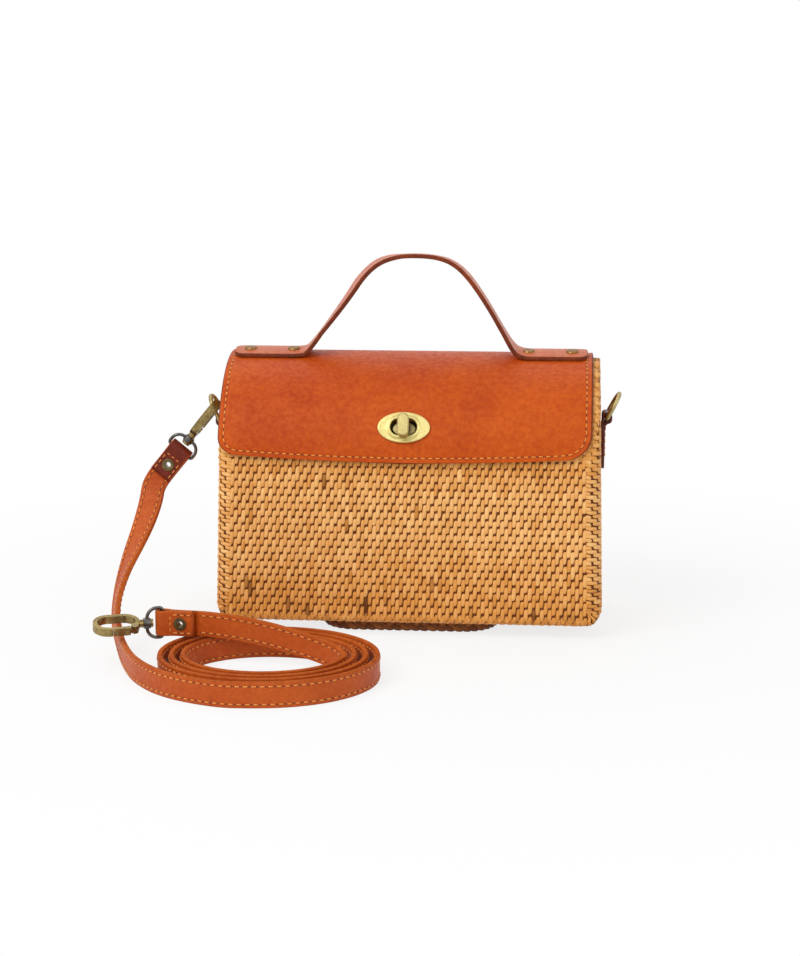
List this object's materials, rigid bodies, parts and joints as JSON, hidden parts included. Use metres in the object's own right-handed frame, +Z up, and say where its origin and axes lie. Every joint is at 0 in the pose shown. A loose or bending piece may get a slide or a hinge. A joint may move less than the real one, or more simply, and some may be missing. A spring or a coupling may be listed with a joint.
{
  "type": "basket box bag",
  "caption": "Woven box bag with a hinged leather flap lid, turn lock, top handle, side rings and a detachable shoulder strap that hangs from one ring and lies coiled in front.",
  "frame": {"origin": "centre of the bag's footprint on the surface that it stands on", "axes": "+Z up, +X to the right seen from the front, +Y from the front towards the back"},
  "size_m": [0.2599, 0.2137, 0.1935],
  "materials": {
    "rattan": "satin",
    "dark_rattan": "satin",
    "cognac_leather": "satin",
    "brown_leather": "satin",
    "pale_brass": "satin",
    "antique_brass": "satin",
    "dark_wire": "satin"
  },
  "bodies": {
    "basket": {"basket_body": "rattan", "foot_ring": "dark_rattan", "hinge_strip": "cognac_leather", "lock_base": "pale_brass", "lock_washer": "antique_brass", "left_tab": "brown_leather", "right_tab": "brown_leather", "strap_run": "cognac_leather", "strap_coil": "cognac_leather", "strap_end": "cognac_leather", "upper_fold": "cognac_leather", "lower_fold": "cognac_leather", "upper_eyelet": "antique_brass", "lower_eyelet": "antique_brass", "upper_loop": "dark_wire", "lower_loop": "dark_wire"},
    "lid": {"lid_flap": "cognac_leather", "carry_handle": "cognac_leather", "handle_rivets": "antique_brass", "handle_rivet_backs": "antique_brass", "lock_plate": "pale_brass", "lock_backing": "antique_brass"},
    "turn_knob": {"turn_knob": "pale_brass", "knob_retainer": "antique_brass"},
    "left_ring": {"left_ring": "antique_brass"},
    "right_ring": {"right_ring": "antique_brass"},
    "upper_hook": {"upper_hook": "antique_brass", "upper_gate_pin": "antique_brass"},
    "upper_gate": {"upper_gate": "antique_brass"},
    "lower_hook": {"lower_hook": "antique_brass", "lower_gate_pin": "antique_brass"},
    "lower_gate": {"lower_gate": "antique_brass"}
  },
  "joints": [
    {"name": "lid_hinge", "type": "hinge", "parent": "basket", "child": "lid", "pos_m": [-0.002, 0.0432, 0.133], "axis": [-1, 0, 0], "range_deg": [0, 150]},
    {"name": "knob_turn", "type": "hinge", "parent": "basket", "child": "turn_knob", "pos_m": [-0.002, -0.03384, 0.10849], "axis": [0, -0.9078, 0.4194], "range_deg": [0, 90]},
    {"name": "right_ring_swing", "type": "hinge", "parent": "basket", "child": "right_ring", "pos_m": [0.1014, 0.0015, 0.11], "axis": [0, 1, 0], "range_deg": [-26, 120]},
    {"name": "left_ring_swing", "type": "hinge", "parent": "basket", "child": "left_ring", "pos_m": [-0.1014, 0.0015, 0.106], "axis": [0, -1, 0], "range_deg": [0, 9]},
    {"name": "upper_hook_swivel", "type": "hinge", "parent": "basket", "child": "upper_hook", "pos_m": [-0.11815, -0.00531, 0.09631], "axis": [0.6262, 0.0462, 0.7783], "range_deg": [-3, 15]},
    {"name": "upper_gate_swing", "type": "hinge", "parent": "upper_hook", "child": "upper_gate", "pos_m": [-0.11433, -0.00055, 0.10066], "axis": [0.7796, -0.0547, -0.6239], "range_deg": [0, 25], "stiffness_Nm_per_rad": 0.004, "springref_deg": -17.19},
    {"name": "lower_hook_swivel", "type": "hinge", "parent": "basket", "child": "lower_hook", "pos_m": [-0.1244, -0.09816, 0.0199], "axis": [-0.9404, -0.3401, 0], "range_deg": [-20, 12]},
    {"name": "lower_gate_swing", "type": "hinge", "parent": "lower_hook", "child": "lower_gate", "pos_m": [-0.12856, -0.1043, 0.01879], "axis": [-0.0835, 0.2309, -0.9694], "range_deg": [0, 25], "stiffness_Nm_per_rad": 0.004, "springref_deg": -17.19}
  ]
}
